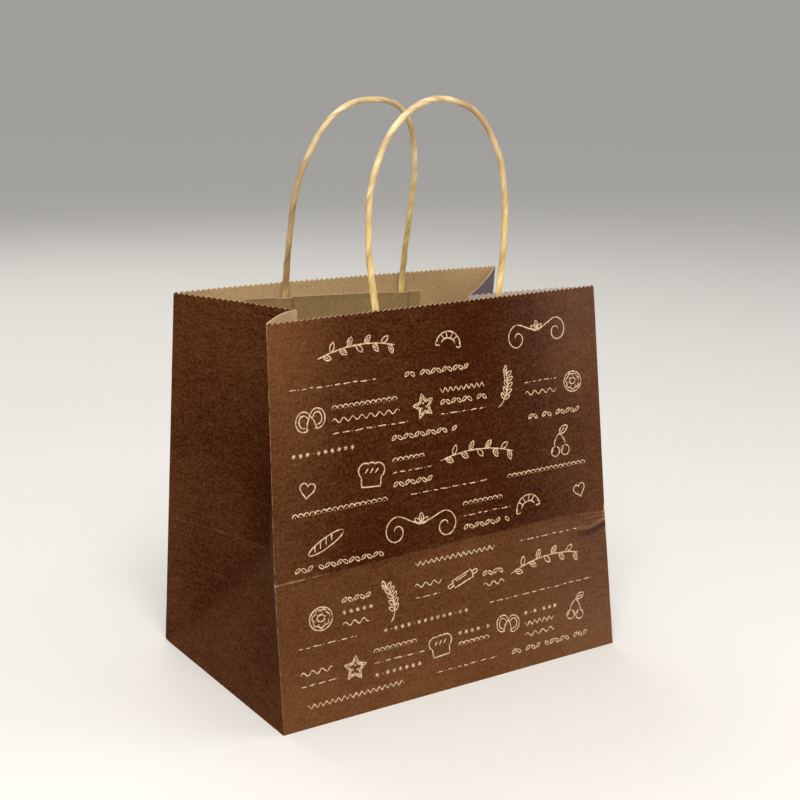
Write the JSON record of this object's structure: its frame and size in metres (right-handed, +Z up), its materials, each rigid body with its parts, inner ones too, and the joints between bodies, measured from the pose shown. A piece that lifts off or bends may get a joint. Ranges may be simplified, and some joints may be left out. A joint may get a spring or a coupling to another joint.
{
  "type": "paper carrier bag",
  "caption": "Open block-bottom paper carrier bag with folded side gussets, a zigzag rim and twisted-cord handles held by glued inner patches, for bread and cakes.",
  "frame": {"origin": "centre of the flat base, on the surface the bag stands on", "axes": "+X along the wide printed front, to the right; +Y from the front to the back; +Z up to the handles"},
  "size_m": [0.2617, 0.17, 0.3711],
  "materials": {
    "printed_paper": "matt kraft paper printed dark brown outside, plain tan inside",
    "twisted_cord": "golden paper twisted into a cord, satin",
    "kraft_patch": "plain kraft paper, matt"
  },
  "bodies": {
    "root": {"bag": "printed_paper", "handle_front": "twisted_cord", "handle_back": "twisted_cord", "patch_front": "kraft_patch", "patch_back": "kraft_patch"}
  },
  "joints": []
}
